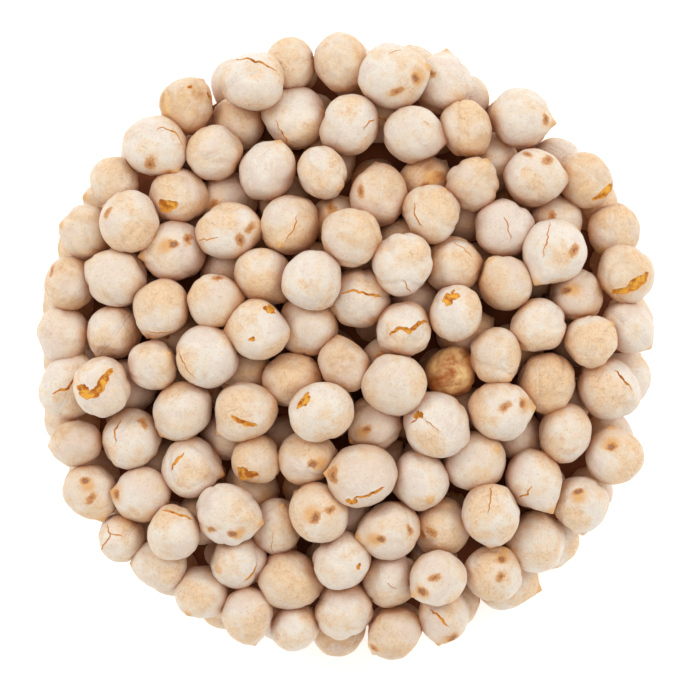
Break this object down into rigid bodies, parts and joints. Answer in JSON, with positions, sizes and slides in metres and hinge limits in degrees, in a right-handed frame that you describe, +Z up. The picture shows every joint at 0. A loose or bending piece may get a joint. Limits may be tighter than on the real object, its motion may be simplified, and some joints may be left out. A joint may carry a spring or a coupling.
{
  "type": "heap of roasted chickpeas",
  "caption": "Round, low heap of dry roasted chickpeas piled loose, cracked and browned in places.",
  "frame": {"origin": "middle of the heap at the surface it rests on", "axes": "+Z up; +X to the right and +Y to the top of the view from straight above"},
  "size_m": [0.1039, 0.1051, 0.0304],
  "materials": {
    "roasted_chickpea": null
  },
  "bodies": {
    "root": {"roasted_chickpea_heap": "roasted_chickpea"}
  },
  "joints": []
}
